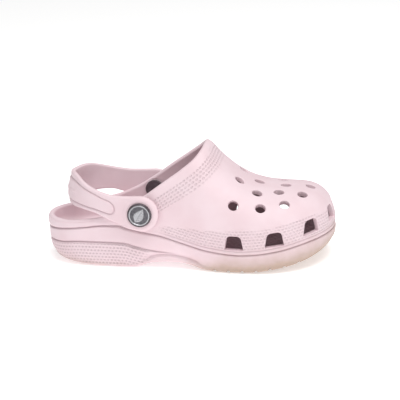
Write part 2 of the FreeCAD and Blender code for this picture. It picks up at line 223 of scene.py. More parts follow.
def ring_normals(p):
    """Unit normals of a grid of rings, from the cross product of its two directions."""
    around = np.roll(p, -1, 1) - np.roll(p, 1, 1)
    n = np.cross(around, np.gradient(p, axis=0))
    return n / np.maximum(np.linalg.norm(n, axis=2), 1e-9)[:, :, None]


# foxing line: the groove between sole and upper, from the heel to the toe
foxing = [(-131.5, 31.5), (-125.5, 32.4), (-109.7, 35), (-90.4, 37.9), (-72.9, 40.2),
          (-60.5, 40.4), (-52.4, 38.2), (-35.6, 34.4), (-23.3, 31.9), (-3.2, 26), (24, 19.6),
          (48, 17.8), (64, 18.7), (87.4, 21.8), (110, 26.2), (131.5, 28.6)]
# lower groove: top of the bumpy band round the heel
heel_band = [(-131.5, 20.2), (-115.4, 21.7), (-95.6, 24), (-74, 24.4), (-57, 24.1),
             (-44.6, 21), (-32.3, 17.6), (-20, 15.4), (-4, 13.6), (14, 11.5)]
# top of the pebbled band above the foxing line
band_top = [(-40, 44), (-23, 42.7), (4.3, 41.8), (25.4, 40.9), (52, 42.4), (76, 43.6),
            (95.4, 48), (112.7, 50.6), (124, 50), (131.5, 49.5)]
# edge of the scooped arch: a thin lip stands out under it
arch_lip = [(-44, 3), (-34, 8.1), (-26.5, 10.9), (-15.4, 12.1), (-5, 11.1), (9.2, 7.5), (20, 3)]

outer_rows, inner_rows = outer_profile(), inner_profile()
rim_rows = collar_rim(outer_rows[-1], inner_rows[0])
sole_rings, rim_start = 18, len(outer_rows)
x, z = outer_rows[:, :, 0], outer_rows[:, :, 2]
on_wall = (np.arange(rim_start) >= sole_rings)[:, None] * np.ones(rays)

# relief of the skin in mm, cut in or standing out; each soft_step fades it in or out
fox_deep, sill_deep, heel_deep, groove_half = 1.7, 0.7, 1.4, 0.8
sill_over_fox = 3.8                        # the thin line under the vents
belly_high, belly_half = 0.7, 3.6          # swelling between foxing line and heel rim
band_deep, band_line_deep = 0.45, 0.3
arch_deep, arch_fade = 3.2, 5.5
heel_rim = collar_line[0][1]
fox, band, lip = along(x, foxing), along(x, band_top), along(x, arch_lip)
fox_groove = bell(z - fox, groove_half)
sill_groove = bell(z - fox - sill_over_fox, 0.7) * soft_step(x, -30, -12)
heel_groove = bell(z - along(x, heel_band), groove_half) * soft_step(-x, 4, 24)
relief = -fox_deep * fox_groove - sill_deep * sill_groove - heel_deep * heel_groove
relief += (belly_high * np.exp(-((z - (fox + heel_rim) / 2) / belly_half) ** 4)
           * soft_step(-x, 58, 74) * (z > fox - 2))
relief -= (band_deep * soft_step(z, fox - 0.5, fox + 2) * soft_step(-z, -band, -band + 2)
           * soft_step(x, -30, -10))
relief -= band_line_deep * bell(z - band, groove_half) * soft_step(x, -24, -10)
relief -= (arch_deep * soft_step(z, lip - 0.4, lip + 1.1) * np.exp(-np.maximum(z - lip, 0) / arch_fade)
           * soft_step(x, -46, -30) * soft_step(-x, -22, -4))
outer_rows = outer_rows + ring_normals(outer_rows) * (relief * on_wall)[:, :, None]

# flat lands that the strap's eyes lie on
land_y, land_r, land_fade = 38.7, 18.0, 1.5
side_of = np.sign(outer_rows[:, :, 1] - foot_axis)
off_axis = np.abs(outer_rows[:, :, 1] - foot_axis)
land = soft_step(-np.hypot(x - rivet_x, z - rivet_z), -land_r - land_fade, -land_r) * on_wall
outer_rows[:, :, 1] -= side_of * np.maximum(off_axis - land_y, 0) * land
grid = np.concatenate([outer_rows[:-1], rim_rows, inner_rows[1:]])

# how much each point carries of the pebbled skin, the heel bumps, the footbed nubs, the painted
# shade of the grooves and of the inside of the toe, and the ground-in dirt that also serves as
# painted shade low on the sole, and where it lies in the rows of bumps: row counts rows, run goes
# along them in mm, and stays above 0 on the moulding itself
bump_pitch, band_pitch, band_shift = 3.1, 2.7, 0.2
dirt_and_shade_height = 3.0
reach = np.linalg.norm(outer_rows - outer_rows[-1], axis=2)
collar_pebble = soft_step(reach, 5.5, 7) * soft_step(-reach, -22, -19) * soft_step(x, -34, -22)
low_pebble = (soft_step(z, fox + 4.4, fox + 5.2) * soft_step(-z, -band + 0.6, -band + 2)
              * soft_step(x, -26, -16))
heel_top = along(x, heel_band)
above_sole = z - along(x, sole_line)
heel_rows = (soft_step(-z, -heel_top + 1.2, -heel_top + 2.2) * soft_step(-x, 30, 42)
             * soft_step(above_sole, 1.6, 3.6))
# grey-beige dirt near the ground, which also stands in for painted shade on the low sole
dirt_and_shade = (np.exp(-np.maximum(above_sole - dirt_and_shade_height, 0) * on_wall / (8 + 7 * soft_step(x, 0, 40)))
        * (0.35 + 0.15 * soft_step(-x, 50, 80) + 0.65 * soft_step(x, -10, 40)))
plain = np.zeros((len(grid) - rim_start + 1, rays))
ring_number = np.arange(len(plain))
# the footbed, where the nubs stand, also gets a light painted shade
bed = soft_step(ring_number, len(plain) - 15, len(plain) - 12)
# painted shade inside the forefoot, which little light reaches
toe_inside_shade = soft_step(grid[rim_start - 1:, :, 0], 6, 40) * (ring_number > 14)[:, None]
run = 1 + np.minimum(arc, arc[-1] - arc)
collar = np.concatenate([[0], np.cumsum(np.linalg.norm(np.diff(outer_rows[-1], axis=0), axis=1))])
collar_run = 1 + np.minimum(collar, collar[-1] - collar)
in_collar = (reach < 26) & (z > band + 1.5)
row = np.where(in_collar, reach / bump_pitch,
               np.where(heel_rows > 0, (heel_top - z) / bump_pitch, (z - fox) / band_pitch + band_shift))
# painted shade in the grooves: their colour is darkened by this mark
grooves = np.clip(fox_groove + sill_groove * 0.6 + heel_groove, 0, 1) * on_wall
pebble = np.clip(collar_pebble + low_pebble, 0, 1) * on_wall
marks = {
    "groove": np.vstack([grooves[:-1], plain]),
    "inside_shade": np.vstack([0 * z[:-1], toe_inside_shade]),
    "pebble": np.vstack([pebble[:-1], plain]),
    "heel": np.vstack([(heel_rows * on_wall)[:-1], plain]),
    "dirt_and_shade": np.vstack([dirt_and_shade[:-1], plain]),
    "bed": np.vstack([0 * z[:-1], plain + bed[:, None]]),
    "row": np.vstack([row[:-1], plain]),
    "run": np.vstack([np.where(in_collar, collar_run, run)[:-1], plain + 1])}


def write_mesh(name, points, faces):
    """A smooth mesh object in metres from points in millimetres and face corners."""
    mesh = bpy.data.meshes.new(name)
    mesh.from_pydata((np.asarray(points) * 0.001).tolist(), [], faces)
    mesh.shade_smooth()
    obj = bpy.data.objects.new(name, mesh)
    bpy.context.scene.collection.objects.link(obj)
    return obj


def closed_rings(name, grid, marks=None):
    """Closed solid from rings whose first and last have shrunk to one point each; the
    marks are grids of numbers written on the mesh as point attributes."""
    rows, count = grid.shape[:2]

    def listed(rings):
        """The middle rings point by point, then the one point at each end."""
        flat = rings[1:-1].reshape(-1, *rings.shape[2:])
        return np.concatenate([flat, rings[0, :1], rings[-1, :1]])

    i, j = np.meshgrid(np.arange(rows - 3), np.arange(count), indexing="ij")
    k = (j + 1) % count
    quads = np.stack([i * count + j, i * count + k, (i + 1) * count + k, (i + 1) * count + j], -1)
    first, start = (rows - 2) * count, (rows - 3) * count
    j, k = np.arange(count), (np.arange(count) + 1) % count
    low = np.column_stack([np.full(count, first), k, j])
    high = np.column_stack([np.full(count, first + 1), start + j, start + k])
    obj = write_mesh(name, listed(grid), quads.reshape(-1, 4).tolist() + low.tolist() + high.tolist())
    for mark, values in (marks or {}).items():
        layer = obj.data.attributes.new(mark, "FLOAT", "POINT")
        layer.data.foreach_set("value", listed(values).astype(np.float32))
    return obj


def lathe(name, profile, centre, axis, count=40):
    """Solid of revolution: (travel, radius) stations carried round the axis."""
    axis = np.array(axis, float) / np.linalg.norm(axis)
    side = np.cross(axis, (0, 0, 1) if abs(axis[2]) < 0.8 else (1, 0, 0))
    side /= np.linalg.norm(side)
    t = np.arange(count) * 2 * np.pi / count
    wheel = np.outer(np.cos(t), side) + np.outer(np.sin(t), np.cross(axis, side))
    travel, radius = np.array(profile, float).T
    rings = (np.array(centre, float) + travel[:, None, None] * axis
             + radius[:, None, None] * wheel[None])
    return closed_rings(name, rings)


def outward(obj):
    """Turns every face of a closed shell outwards."""
    work = bmesh.new()
    work.from_mesh(obj.data)
    bmesh.ops.remove_doubles(work, verts=work.verts, dist=1e-7)
    bmesh.ops.recalc_face_normals(work, faces=work.faces)
    work.to_mesh(obj.data)
    work.free()
    return obj


def cut(obj, cutters):
    """The shell less every cutter, with no material yet; the cutters are used up."""
    tools = bpy.data.collections.new("cutters")
    for tool in cutters:
        tools.objects.link(outward(tool))
    carve = obj.modifiers.new("cut", "BOOLEAN")
    carve.operation, carve.solver = "DIFFERENCE", "MANIFOLD"
    carve.operand_type, carve.collection = "COLLECTION", tools
    graph = bpy.context.evaluated_depsgraph_get()
    done = bpy.data.meshes.new_from_object(obj.evaluated_get(graph), preserve_all_data_layers=True,
                                           depsgraph=graph)
    obj.modifiers.clear()
    obj.data = done
    for tool in cutters:
        bpy.data.objects.remove(tool)
    bpy.data.collections.remove(tools)
    done.materials.clear()
    done.set_sharp_from_angle(angle=np.radians(40))
    return obj


clog_skin = outward(closed_rings("clog_body_skin", grid, marks))

# round holes in the upper, each square to the surface with a softly rounded mouth
hole_r, lip_r, hole_deep, hole_flare = 4.55, 0.9, 11.0, 3.0
outer_holes = np.array([(45.6, -45.5), (69.0, -42.0), (89.4, -34.0), (48.4, -16.7),
                        (64.6, -25.6), (83.0, -17.5), (103.9, -17.2)])
middle_holes = np.array([(64.0, 0.5), (87.5, 1.0), (109.5, 4.0)])
outer_side, inner_side = sides(0.0)
midline = (np.interp(outer_holes[:, 0], *outer_side.T) + np.interp(outer_holes[:, 0], *inner_side.T)) / 2
mirrored = np.column_stack([outer_holes[:, 0], 2 * midline - outer_holes[:, 1]])
hx, hy = np.vstack([outer_holes, mirrored, middle_holes]).T
hz = upper_height(hx, hy, 0, 0)
probe = 0.8
slope_x = (upper_height(hx + probe, hy, 0, 0) - upper_height(hx - probe, hy, 0, 0)) / (2 * probe)
slope_y = (upper_height(hx, hy + probe, 0, 0) - upper_height(hx, hy - probe, 0, 0)) / (2 * probe)
mouth = [(lip_r * (np.sin(t) - 1), hole_r + lip_r * (1 - np.cos(t))) for t in np.linspace(0, np.pi / 2, 5)]
hole_profile = ([(-hole_deep, 0), (-hole_deep, hole_r)] + mouth
                + [(hole_flare, hole_r + lip_r + hole_flare), (hole_flare, 0)])
cutters = [lathe("hole_%d" % n, hole_profile, (px, py, pz), (-ax, -ay, 1))
           for n, (px, py, pz, ax, ay) in enumerate(zip(hx, hy, hz, slope_x, slope_y))]

# side vents: trapezoid ports, rounded at the two top corners and round their mouths; the
# places are x, side, height of the sill and how much the sill rises along the wall. A
# cutter starts vent_from outside the outline and goes vent_deep in from there.
vent_wide, vent_top_wide, vent_high = 17.2, 12.4, 13.0
vent_lip, vent_flare, vent_from, vent_deep = 1.3, 1.6, 12.0, 26.0
vent_places = [(45.5, -1, 22.8, 0.0), (81.5, -1, 26.0, 0.1), (113.0, -1, 33.5, 0.16),
               (110.5, 1, 33.5, 0.16), (79.0, 1, 26.0, 0.1), (43.0, 1, 22.8, 0.0)]
front_vents = [(-5.0, 37.5), (22.5, 37.5)]
toe_axis = 1.5


def vent_outline(count=96):
    """Trapezoid with rounded corners: the walk round a polygon, each point averaged
    over a window of the walk as wide as the rounding there: 0.8 mm low, 3.6 mm high."""
    wide, top = vent_wide / 2, vent_top_wide / 2
    ends = np.array([(-wide, 0), (wide, 0), (top, vent_high), (-top, vent_high), (-wide, 0)])
    far = np.concatenate([[0], np.cumsum(np.linalg.norm(np.diff(ends, axis=0), axis=1))])
    t = np.arange(count)[:, None] * far[-1] / count
    reach = 0.8 + 2.8 * soft_step(np.interp(t, far, ends[:, 1]), 2, 8)
    t = (t + np.linspace(-1, 1, 11) * reach) % far[-1]
    return np.stack([np.interp(t, far, ends[:, 0]).mean(1), np.interp(t, far, ends[:, 1]).mean(1)], 1)


def surface_depth(start, flat):
    """How far along -flat each start point meets the outside of the upper, by halving."""
    near, far = np.zeros(len(start)), np.full(len(start), vent_deep)
    for _ in range(24):
        mid = (near + far) / 2
        p = start - flat * mid[:, None]
        low, high = np.interp(p[:, 0], *outer_side.T), np.interp(p[:, 0], *inner_side.T)
        within = ((p[:, 1] > low) & (p[:, 1] < high) & (p[:, 0] < outer_side[-1, 0])
                  & (p[:, 2] < upper_height(p[:, 0], p[:, 1], 0, 0)))
        near, far = np.where(within, near, mid), np.where(within, mid, far)
    return far


def vent_cutter(name, spot, flat, sill, rise):
    """The port's outline carried in through the wall, opening by a quarter circle
    where it meets the outside."""
    flat = np.array([flat[0], flat[1], 0]) / np.hypot(*flat[:2])
    across = np.array([-flat[1], flat[0], 0])
    line = vent_outline()
    line[:, 1] += rise * across[0] * line[:, 0]
    turn = np.roll(line, -1, 0) - np.roll(line, 1, 0)
    out = np.column_stack([turn[:, 1], -turn[:, 0]]) / np.linalg.norm(turn, axis=1)[:, None]
    start = np.array([spot[0], spot[1], sill]) + flat * vent_from

    def ring(grow, depth):
        """The outline grown by grow, standing depth in from the start plane."""
        wide, high = (line + out * grow).T
        return start + np.outer(wide, across) + np.outer(high, (0, 0, 1)) - np.outer(depth, flat)

    met = surface_depth(ring(0.0, np.zeros(len(line))), flat)
    rows = [ring(0.0, np.full(len(line), vent_deep)), ring(0.0, met + vent_lip)]
    for t in np.linspace(0, np.pi / 2, 5)[1:]:
        rows.append(ring(vent_lip * (1 - np.cos(t)), met + vent_lip * (1 - np.sin(t))))
    rows.append(ring(vent_lip + vent_flare, met - vent_flare))
    middle = [np.repeat(r.mean(0)[None], len(line), 0) for r in (rows[0], rows[-1])]
    return closed_rings(name, np.array([middle[0]] + rows + [middle[1]]))


for n, (vx, side, sill, rise) in enumerate(vent_places):
    near = np.where((edge[:, 1] - toe_axis) * side > 0, np.abs(edge[:, 0] - vx), 999).argmin()
    cutters.append(vent_cutter("vent_%d" % n, edge[near], -inward[near], sill, rise))
for n, (vy, sill) in enumerate(front_vents):
    near = np.where(edge[:, 0] > 100, np.abs(edge[:, 1] - vy), 999).argmin()
    cutters.append(vent_cutter("front_vent_%d" % n, edge[near], -inward[near], sill, 0.0))

# cross grooves at both edges of the forefoot tread, round at the top
groove_x = 27.0 + 12.4 * np.arange(7)
groove_wide, groove_deep = 2.4, 3.0
groove_out, groove_in = 4.0, 10.0
groove_mouth = np.array([(3.0, -4.0), (2.3, 0.0), (groove_wide / 2, 1.0)])


def groove_cutter(name, gx, ends):
    """A slot section, with a flared mouth below and a half circle on top, carried across
    the sole's edge between the two ends."""
    t = np.linspace(0, np.pi, 9)
    low = along(gx, sole_line)
    top = low + groove_deep - groove_wide / 2
    line = np.column_stack([gx + groove_wide / 2 * np.cos(t), top + groove_wide / 2 * np.sin(t)])
    line = np.vstack([groove_mouth + [gx, low], line, (groove_mouth * [-1, 1])[::-1] + [gx, low]])
    rings = [np.column_stack([line[:, 0], np.full(len(line), y), line[:, 1]]) for y in ends]
    middle = [np.repeat(r.mean(0)[None], len(line), 0) for r in rings]
    return closed_rings(name, np.array([middle[0]] + rings + [middle[1]]))


for n, gx in enumerate(groove_x):
    for side, border in ((-1, np.interp(gx, *outer_side.T)), (1, np.interp(gx, *inner_side.T))):
        ends = (border + side * groove_out, border - side * groove_in)
        cutters.append(groove_cutter("groove_%d_%d" % (n, side + 1), gx, ends))

# stem holes through the walls, and the flat lands that the caps lie on inside
rivet_at = (rivet_x, foot_axis, rivet_z)
bore_r = stem_r + 0.06
cap_land_y, cap_land_r = 32.5, 10.0
stem_hole = [(36, 0), (36, bore_r), (56, bore_r), (56, 0)]
cap_land = [(20, 0), (20, cap_land_r), (cap_land_y, cap_land_r), (cap_land_y, bore_r), (40, bore_r), (40, 0)]
for side in (-1, 1):
    cutters.append(lathe("stem_hole_%d" % (side + 1), stem_hole, rivet_at, (0, side, 0)))
    cutters.append(lathe("cap_land_%d" % (side + 1), cap_land, rivet_at, (0, side, 0), 64))
cut(clog_skin, cutters)

# the cutters carry no marks, so points on the cut edges take theirs from where they lie
spots = np.zeros(len(clog_skin.data.vertices) * 3)
clog_skin.data.attributes["position"].data.foreach_get("vector", spots)
spots = spots.reshape(-1, 3) * 1000
edge_marks = {name: np.zeros(len(spots)) for name in ("row", "run", "dirt_and_shade")}
for name, values in edge_marks.items():
    clog_skin.data.attributes[name].data.foreach_get("value", values)
cut_edge = edge_marks["run"] == 0
cut_x, cut_y, cut_z = spots[cut_edge].T
angles = np.arctan2(*(edge - pole).T[::-1])
order = np.argsort(angles)
cut_angles = np.arctan2(cut_y - pole[1], cut_x - pole[0])
edge_marks["run"][cut_edge] = np.interp(cut_angles, angles[order], run[order])
edge_marks["row"][cut_edge] = (cut_z - along(cut_x, foxing)) / band_pitch + band_shift
edge_marks["dirt_and_shade"][cut_edge] = np.exp((along(cut_x, sole_line) + dirt_and_shade_height - cut_z).clip(None, 0) / 3)
for name, values in edge_marks.items():
    clog_skin.data.attributes[name].data.foreach_set("value", values)


class Wire:
    """A node's socket. Arithmetic on wires adds Math nodes to the material."""

    def __init__(self, tree, socket=None):
        self.tree, self.socket = tree, socket

    def node(self, kind, settings=None, sockets=None, out=0):
        """Adds a node: settings first, ramp stops among them, then socket values or wires."""
        made = self.tree.nodes.new(kind)
        for name, value in (settings or {}).items():
            setattr(made, name, value)
        for name, value in (sockets or {}).items():
            if isinstance(value, Wire):
                self.tree.links.new(value.socket, made.inputs[name])
            else:
                made.inputs[name].default_value = value
        return Wire(self.tree, made.outputs[out])

    def maths(self, operation, *values):
        """One Math node of that operation on the values in order."""
        return self.node("ShaderNodeMath", {"operation": operation}, dict(enumerate(values)))

    def __add__(self, other):
        return self.maths("ADD", self, other)

    def __sub__(self, other):
        return self.maths("SUBTRACT", self, other)

    def __rsub__(self, other):
        return self.maths("SUBTRACT", other, self)

    def __mul__(self, other):
        return self.maths("MULTIPLY", self, other)

    def __truediv__(self, other):
        return self.maths("DIVIDE", self, other)

    __radd__, __rmul__ = __add__, __mul__

    def step(self, low, high):
        """0 below low, 1 above high, smooth between."""
        return self.node("ShaderNodeMapRange", {"interpolation_type": "SMOOTHSTEP"},
                         {"Value": self, "From Min": low, "From Max": high})

    def mix(self, a, b):
        """Colour a where this wire is 0, b where it is 1."""
        return self.node("ShaderNodeMix", {"data_type": "RGBA"}, {0: self, 6: a, 7: b}, 2)


def linear(red, green, blue):
    """Display colour 0 to 255 as the linear colour a shader takes."""
    c = np.array([red, green, blue]) / 255
    return (*np.where(c <= 0.04045, c / 12.92, ((c + 0.055) / 1.055) ** 2.4), 1.0)


def new_material(name):
    """Material with its Principled shader, and a wire with no socket to start from."""
    mat = bpy.data.materials.new(name)
    mat.use_nodes = True
    return mat, mat.node_tree.nodes["Principled BSDF"], Wire(mat.node_tree)


def connect(shader, links, constants):
    """Wires into the shader's sockets, and constants straight on them."""
    for name, wire in links.items():
        wire.tree.links.new(wire.socket, shader.inputs[name])
    for name, value in constants.items():
        shader.inputs[name].default_value = value


# foam: pale pink with faint clouds, a fine moulded grain, pebbled bands, rows of short
# bumps low on the heel, nubs on the footbed, and grey-beige dirt near the ground that is
# also darkened as painted shade; painted shade is mixed in too over the grooves, the pits of
# the bumps, the footbed and the inside of the toe
# the third colour is grey-beige dirt, darkened to serve as painted shade too; foam_shade is painted shade
foam_pale, foam_deep, foam_dirt_and_shade = linear(235, 214, 220), linear(230, 206, 212), linear(180, 158, 140)
foam_shade = linear(122, 84, 95)
dash_pitch = 3.3


def foam(name, grain=0.02):
    """Moulded foam skin. A dash of the bumpy bands lies where 7.5 across^2 + 11 up^2 is
    small, across and up running from -0.5 to 0.5 in each place of the rows, and a nub of
    the footbed where fore^2 + side^2 is small. Both feed the bump and the painted shade in the base colour."""
    mat, shader, wire = new_material(name)
    place = wire.node("ShaderNodeTexCoord", out="Object")

    def mark(attribute):
        """How much of one mark the surface carries."""
        return wire.node("ShaderNodeAttribute", {"attribute_name": attribute}, out="Fac")

    def noise(scale, detail):
        """Cloudy values from 0 to 1, scale in features per metre."""
        sockets = {"Vector": place, "Scale": scale, "Detail": detail}
        return wire.node("ShaderNodeTexNoise", None, sockets, "Fac")

    def off_centre(places):
        """Place along a row of unit places, from -0.5 to 0.5 in each."""
        return places.maths("FRACT", places) - 0.5

    def staggered(places, rows):
        """The places moved by half of one in every other row."""
        line = rows.maths("FLOOR", rows)
        return places + line.maths("MODULO", line, 2.0) * 0.5

    clouds, scuffs, fine = noise(34.0, 3.0), noise(140.0, 5.0), noise(1300.0, 2.0)
    row = mark("row")
    across, up = off_centre(staggered(mark("run") / dash_pitch, row)), off_centre(row)
    dash = 1 - (across * across * 7.5 + up * up * 11.0).step(0.35, 1.0)
    length, width = [wire.node("ShaderNodeSeparateXYZ", None, {"Vector": place}, axis) for axis in "XY"]
    bed_row = width * 230.0
    fore, side = off_centre(staggered(length * 200.0, bed_row)), off_centre(bed_row)
    nub = (1 - (fore * fore + side * side).step(0.03, 0.1)) * mark("bed")
    # the dashes of the heel and pebbled bands are pits: painted shade darkens their colour below
    dashes = dash * (mark("heel") + mark("pebble"))
    height = nub * 0.8 + fine * grain + scuffs * 0.03 - dashes * 0.6
    bump = wire.node("ShaderNodeBump", None, {"Strength": 1.0, "Distance": 0.001, "Height": height})
    # grey-beige dirt low on the sole, its colour darkened to stand in as painted shade there too
    dirt_and_shade = (mark("dirt_and_shade") * (scuffs * 0.4 + clouds * 0.5 + 0.6)).step(0.12, 1.1)
    # painted shade: the grooves, the pits of the dashes, the inside of the toe and the footbed are mixed
    # towards foam_shade, the nub tops kept nearly out of it
    hollow = (mark("groove") * 0.42 + dashes * 0.24 - dash * mark("pebble") * 0.13
              + mark("inside_shade") * 0.62 + mark("bed") * 0.14 - nub * 0.12)
    clean = clouds.step(0.3, 0.7).mix(foam_pale, foam_deep)
    shaded = hollow.maths("MINIMUM", hollow, 1.0).mix(clean, foam_shade)
    rough = 0.46 + fine * 0.06 + scuffs * 0.1 + mark("pebble") * 0.08 + dirt_and_shade * 0.15
    connect(shader, {"Base Color": (dirt_and_shade * 0.9).mix(shaded, foam_dirt_and_shade), "Roughness": rough, "Normal": bump},
            {"IOR": 1.46, "Specular IOR Level": 0.42})
    return mat


clog_skin.data.materials.append(foam("clog_foam"))
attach(clog_skin, "clog")
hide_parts("clog_body")

# --- tread lugs -----------------------------------------------------------------
# Six-sided blocks moulded with the sole, in the shallow recess inside the tread rim.
# They are foam like the rest and end level with the rim.
lug_pitch, lug_r, lug_bevel = 10.5, 4.3, 0.5
lug_root, lug_tip = 3.2, 0.05              # heights over the sole line; the root is in the foam
tread_ends, arch_ends = (-108, 106), (-34, 12)
lug_row, lug_col = np.meshgrid(np.arange(-6, 7), np.arange(-14, 15), indexing="ij")
lug_x = (lug_col * lug_pitch + (lug_row % 2) * lug_pitch / 2).ravel()
lug_y = (lug_row * lug_pitch * 0.866).ravel()
tread_outer, tread_inner = sides(tread_rim + lug_r)
room = np.minimum(lug_y - np.interp(lug_x, *tread_outer.T), np.interp(lug_x, *tread_inner.T) - lug_y)
fits = ((room > 0.5) & (lug_x > tread_ends[0]) & (lug_x < tread_ends[1])
        & ((lug_x < arch_ends[0]) | (lug_x > arch_ends[1])))
lug_x, lug_y = lug_x[fits], lug_y[fits]
corner = np.arange(6) * np.pi / 3 + np.pi / 6
lug_section = [(lug_root, lug_r), (lug_bevel, lug_r), (0.0, lug_r - lug_bevel)]
lug_points = np.concatenate([
    np.stack([lug_x[:, None] + r * np.cos(corner), lug_y[:, None] + r * np.sin(corner),
              along(lug_x[:, None] + r * np.cos(corner), sole_line) + lift + lug_tip], -1)
    for lift, r in lug_section], axis=1)
first = (np.arange(len(lug_x)) * 18)[:, None, None]
i, j = np.meshgrid(np.arange(2), np.arange(6), indexing="ij")
k = (j + 1) % 6
wall = np.stack([i * 6 + j, i * 6 + k, (i + 1) * 6 + k, (i + 1) * 6 + j], -1).reshape(1, -1, 4)
walls = (first + wall).reshape(-1, 4)
lids = np.concatenate([first[:, 0] + np.arange(6), first[:, 0] + 12 + np.arange(6)[::-1]])
lugs = outward(write_mesh("tread_lugs", lug_points.reshape(-1, 3), walls.tolist() + lids.tolist()))
# the lugs carry dirt at 0.7: grey-beige dirt that is also painted shade under the sole
worn = lugs.data.attributes.new("dirt_and_shade", "FLOAT", "POINT")
worn.data.foreach_set("value", np.full(len(lugs.data.vertices), 0.7, np.float32))
lugs.data.set_sharp_from_angle(angle=np.radians(35))
lugs.data.materials.append(foam("lug_foam"))
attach(lugs, "clog")

# --- heel strap -----------------------------------------------------------------
# A moulded foam band from eye to eye round the back of the heel, 4.3 mm thick, with a
# raised panel along its middle and round eyes that swing on the rivets.
strap_plan = [(-38, 44.5), (-58, 43.8), (-74, 40.6), (-88, 34.2), (-99, 25.5), (-106.5, 15), (-110.5, 6)]
strap_back, strap_thick, strap_edge, eye_r = -111.6, 4.3, 1.7, 16.5
strap_top = [(-111.7, 82.5), (-110, 82.6), (-106, 82.7), (-101, 82.0), (-92, 79),
             (-83, 75.6), (-72, 72.4), (-60, 70.4), (-49, 70.2), (-38, 70.5)]
strap_low = [(-111.7, 53.3), (-108, 53), (-95, 54), (-81, 53), (-72, 50), (-60, 45.4),
             (-49, 40.2), (-38, 37.5)]
strap_lean = 3.4                           # how far the back's top stands in over the heel
panel_from, panel_near, panel_widens, panel_high = 24.0, 5.0, 3.6, 0.8
seam_off, seam_half, seam_deep = 0.9, 0.7, 0.6
eye_dome = 0.9
dot_pitch, dot_high, dots_to = 6.0, 0.55, 28.0


def open_curve(points, slope, count):
    """Cubic spline through the points with chord-length spacing, its slopes solved for
    an even bend at every point; slope gives the way it runs at both ends."""
    points = np.array(points, float)
    h = np.linalg.norm(np.diff(points, axis=0), axis=1)
    n = len(points)
    system, right = np.eye(n), np.zeros((n, 2))
    for k in range(1, n - 1):
        system[k, k - 1:k + 2] = h[k], 2 * (h[k - 1] + h[k]), h[k - 1]
        bend = h[k] * (points[k] - points[k - 1]) / h[k - 1] + h[k - 1] * (points[k + 1] - points[k]) / h[k]
        right[k] = 3 * bend
    right[0], right[-1] = slope
    runs = np.linalg.solve(system, right)
    far = np.concatenate([[0], np.cumsum(h)])
    t = np.linspace(0, far[-1], count)
    k = np.clip(np.searchsorted(far, t, side="right") - 1, 0, n - 2)
    u = ((t - far[k]) / h[k])[:, None]
    step = h[k][:, None]
    return ((1 + 2 * u) * (1 - u) ** 2 * points[k] + u * (1 - u) ** 2 * step * runs[k]
            + u * u * (3 - 2 * u) * points[k + 1] + u * u * (u - 1) * step * runs[k + 1])

# the strap's middle line seen from above, with a station past each eye, and on it the
# places of the cross sections, a little closer together near the eyes
arm = np.array(strap_plan)
loop = np.vstack([arm * [1, -1] + [0, foot_axis], [[strap_back, foot_axis]], (arm + [0, foot_axis])[::-1]])
path = open_curve(loop, [(-1, 0), (1, 0)], 3000)
path = np.vstack([path[:1] + [[eye_r, 0]], path, path[-1:] + [[eye_r, 0]]])
path_run = np.concatenate([[0], np.cumsum(np.linalg.norm(np.diff(path, axis=0), axis=1))])
strap_long = path_run[-1]
ease = np.linspace(-1, 1, 440)
s = strap_long / 2 * (1 + np.sign(ease) * (1 - (1 - np.abs(ease)) ** 1.12))
s[0], s[-1] = 0.0, strap_long
plan = np.column_stack([np.interp(s, path_run, path[:, 0]), np.interp(s, path_run, path[:, 1])])
tangent = np.gradient(plan, s, axis=0)
tangent /= np.linalg.norm(tangent, axis=1)[:, None]
outside = np.column_stack([tangent[:, 1], -tangent[:, 0]])
outside *= np.sign((outside * (plan - [-60, foot_axis])).sum(1))[:, None]

# its width: from strap_low to strap_top, and round the eye a circle; w runs over it from
# -1 to 1, closer together towards the rounded edges
to_eye = np.minimum(s, strap_long - s) - eye_r
round_half = np.sqrt(np.clip(eye_r ** 2 - np.minimum(to_eye, 0) ** 2, 0, None))
top = np.where(to_eye < 0, rivet_z + round_half, along(plan[:, 0], strap_top))
low = np.where(to_eye < 0, rivet_z - round_half, along(plan[:, 0], strap_low))
mid, half = (top + low) / 2, (top - low) / 2
turn = np.linspace(-1, 1, 61)
w = np.sin(turn * np.pi / 2) * 0.55 + turn * 0.45
strap_z = mid[:, None] + half[:, None] * w
off_mid = strap_z - mid[:, None]
off_eye = np.hypot(np.abs(to_eye)[:, None], strap_z - rivet_z)
border = np.where(to_eye[:, None] < 0, eye_r - off_eye, half[:, None] * (1 - np.abs(w)))
rounded = strap_edge - np.sqrt(np.clip(strap_edge ** 2 - np.clip(strap_edge - border, 0, None) ** 2, 0, None))

# its relief: the raised panel with a seam round it, domed eyes, and a row of dots behind
panel_half = panel_near + panel_widens * soft_step(to_eye, 25, 75)
beyond = np.maximum(panel_from + panel_half - to_eye, 0)
panel = panel_half[:, None] - np.hypot(beyond[:, None], off_mid)
panel_seam = bell(panel + seam_off, seam_half)
raised = panel_high * soft_step(panel, -0.5, 0.4) - seam_deep * panel_seam
raised += eye_dome * soft_step(-off_eye, -16.2, -12.6)
from_back = s[:, None] - strap_long / 2
off_dot = ((from_back + dot_pitch / 2) % dot_pitch) - dot_pitch / 2
raised += dot_high * soft_step(-np.hypot(off_dot, off_mid), -1.9, -1.2) * (np.abs(from_back) < dots_to)
lean = strap_lean * soft_step(strap_z, 60, 83) * soft_step(-plan[:, :1], 84, 108)
cover = -rounded + raised * soft_step(border, 0.3, 1.4) - lean
back = -strap_thick + rounded - lean


def strap_face(depth, order):
    """One face of the strap, its rows in the given order: each point is the plan's,
    moved outwards by depth, at the height of its row."""
    xy = plan[:, None] + outside[:, None] * depth[:, :, None]
    return np.dstack([xy, strap_z])[:, ::order]


strap_rings = np.concatenate([strap_face(cover, 1), strap_face(back, -1)], axis=1)
# both end rings have shrunk to an edge across the thickness, so they close on one end of it
ends = [np.repeat(strap_rings[k][None, :1], strap_rings.shape[1], 1) for k in (0, -1)]
